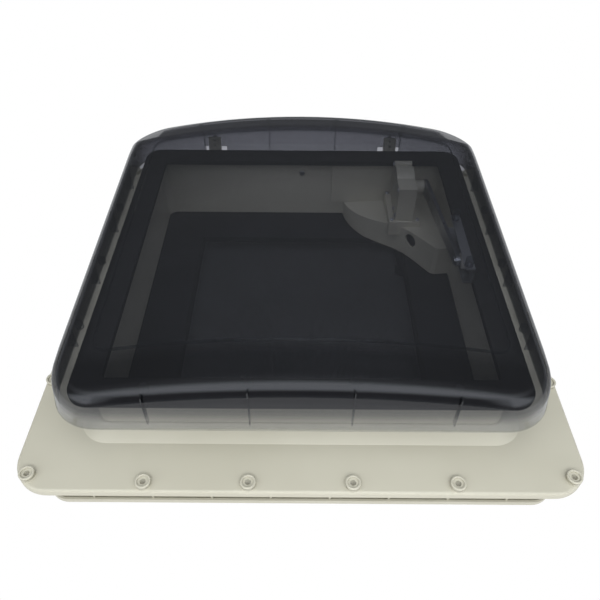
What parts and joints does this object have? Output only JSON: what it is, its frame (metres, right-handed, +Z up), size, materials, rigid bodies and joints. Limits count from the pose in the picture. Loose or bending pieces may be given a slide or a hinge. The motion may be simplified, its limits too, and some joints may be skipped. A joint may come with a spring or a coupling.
{
  "type": "roof vent cover",
  "caption": "Square crank-up roof vent: cream flange and neck, smoked dome lid on a rear hinge, insect screen, worm gear with lift arm, interior trim ring.",
  "frame": {"origin": "under the middle of the interior trim ring, on its lowest face", "axes": "+Z up out of the roof, -Y towards the edge of the lid that opens, hinge along X at +Y"},
  "size_m": [0.48, 0.48, 0.158],
  "materials": {
    "cream_plastic": "satin",
    "smoked_plastic": "gloss",
    "black_plastic": "satin",
    "black_rubber": "matte",
    "black_mesh": "matte",
    "zinc_steel": "satin",
    "aluminium": "satin",
    "white_nylon": "satin"
  },
  "bodies": {
    "base": {"base_frame": "cream_plastic", "coaming_seal": "black_rubber", "trim_ring": "cream_plastic", "trim_screws": "zinc_steel", "wall_screw": "zinc_steel", "screen_frame": "black_plastic", "screen_mesh": "black_mesh", "screen_spline": "black_rubber", "hinge_brackets": "zinc_steel", "hinge_pins": "zinc_steel", "hinge_bracket_screws": "zinc_steel", "gearbox_housing": "cream_plastic", "gearbox_cover": "cream_plastic", "gearbox_cover_screws": "zinc_steel", "gearbox_mount_screws": "zinc_steel", "worm_bush": "white_nylon"},
    "lid": {"lid_dome": "smoked_plastic", "lid_hinge_lugs": "cream_plastic", "lug_screws": "zinc_steel", "lid_rail": "aluminium", "rail_screws": "zinc_steel"},
    "arm": {"worm_wheel": "white_nylon", "arm_axle": "zinc_steel", "lift_arm": "zinc_steel", "axle_clip": "zinc_steel", "shoe_pin": "zinc_steel"},
    "shoe": {"slide_shoe": "white_nylon"},
    "crank": {"worm_shaft": "zinc_steel", "crank_handle": "black_plastic", "crank_screw": "zinc_steel", "knob_pin": "zinc_steel"},
    "knob": {"crank_knob": "black_plastic"}
  },
  "joints": [
    {"name": "lid_hinge", "type": "hinge", "parent": "base", "child": "lid", "pos_m": [0, 0.198, 0.094], "axis": [-1, 0, 0], "range_deg": [0, 50]},
    {"name": "arm_pivot", "type": "hinge", "parent": "base", "child": "arm", "pos_m": [0.152, 0.146, 0.084], "axis": [-1, 0, 0], "range_deg": [0, 62.5]},
    {"name": "shoe_pivot", "type": "hinge", "parent": "arm", "child": "shoe", "pos_m": [0.158, -0.03, 0.118], "axis": [-1, 0, 0], "range_deg": [-12.5, 0]},
    {"name": "crank_spin", "type": "hinge", "parent": "base", "child": "crank", "pos_m": [0.125, 0.119, 0.011], "axis": [0, 0, -1], "range_deg": [0, 1750]},
    {"name": "knob_spin", "type": "hinge", "parent": "crank", "child": "knob", "pos_m": [0.125, 0.082, 0.005], "axis": [0, 0, 1], "continuous": true}
  ],
  "couplings": [
    {"joint": "arm_pivot", "follows": "lid_hinge", "ratio": 1.25},
    {"joint": "shoe_pivot", "follows": "lid_hinge", "ratio": -0.25},
    {"joint": "crank_spin", "follows": "lid_hinge", "ratio": 35}
  ]
}
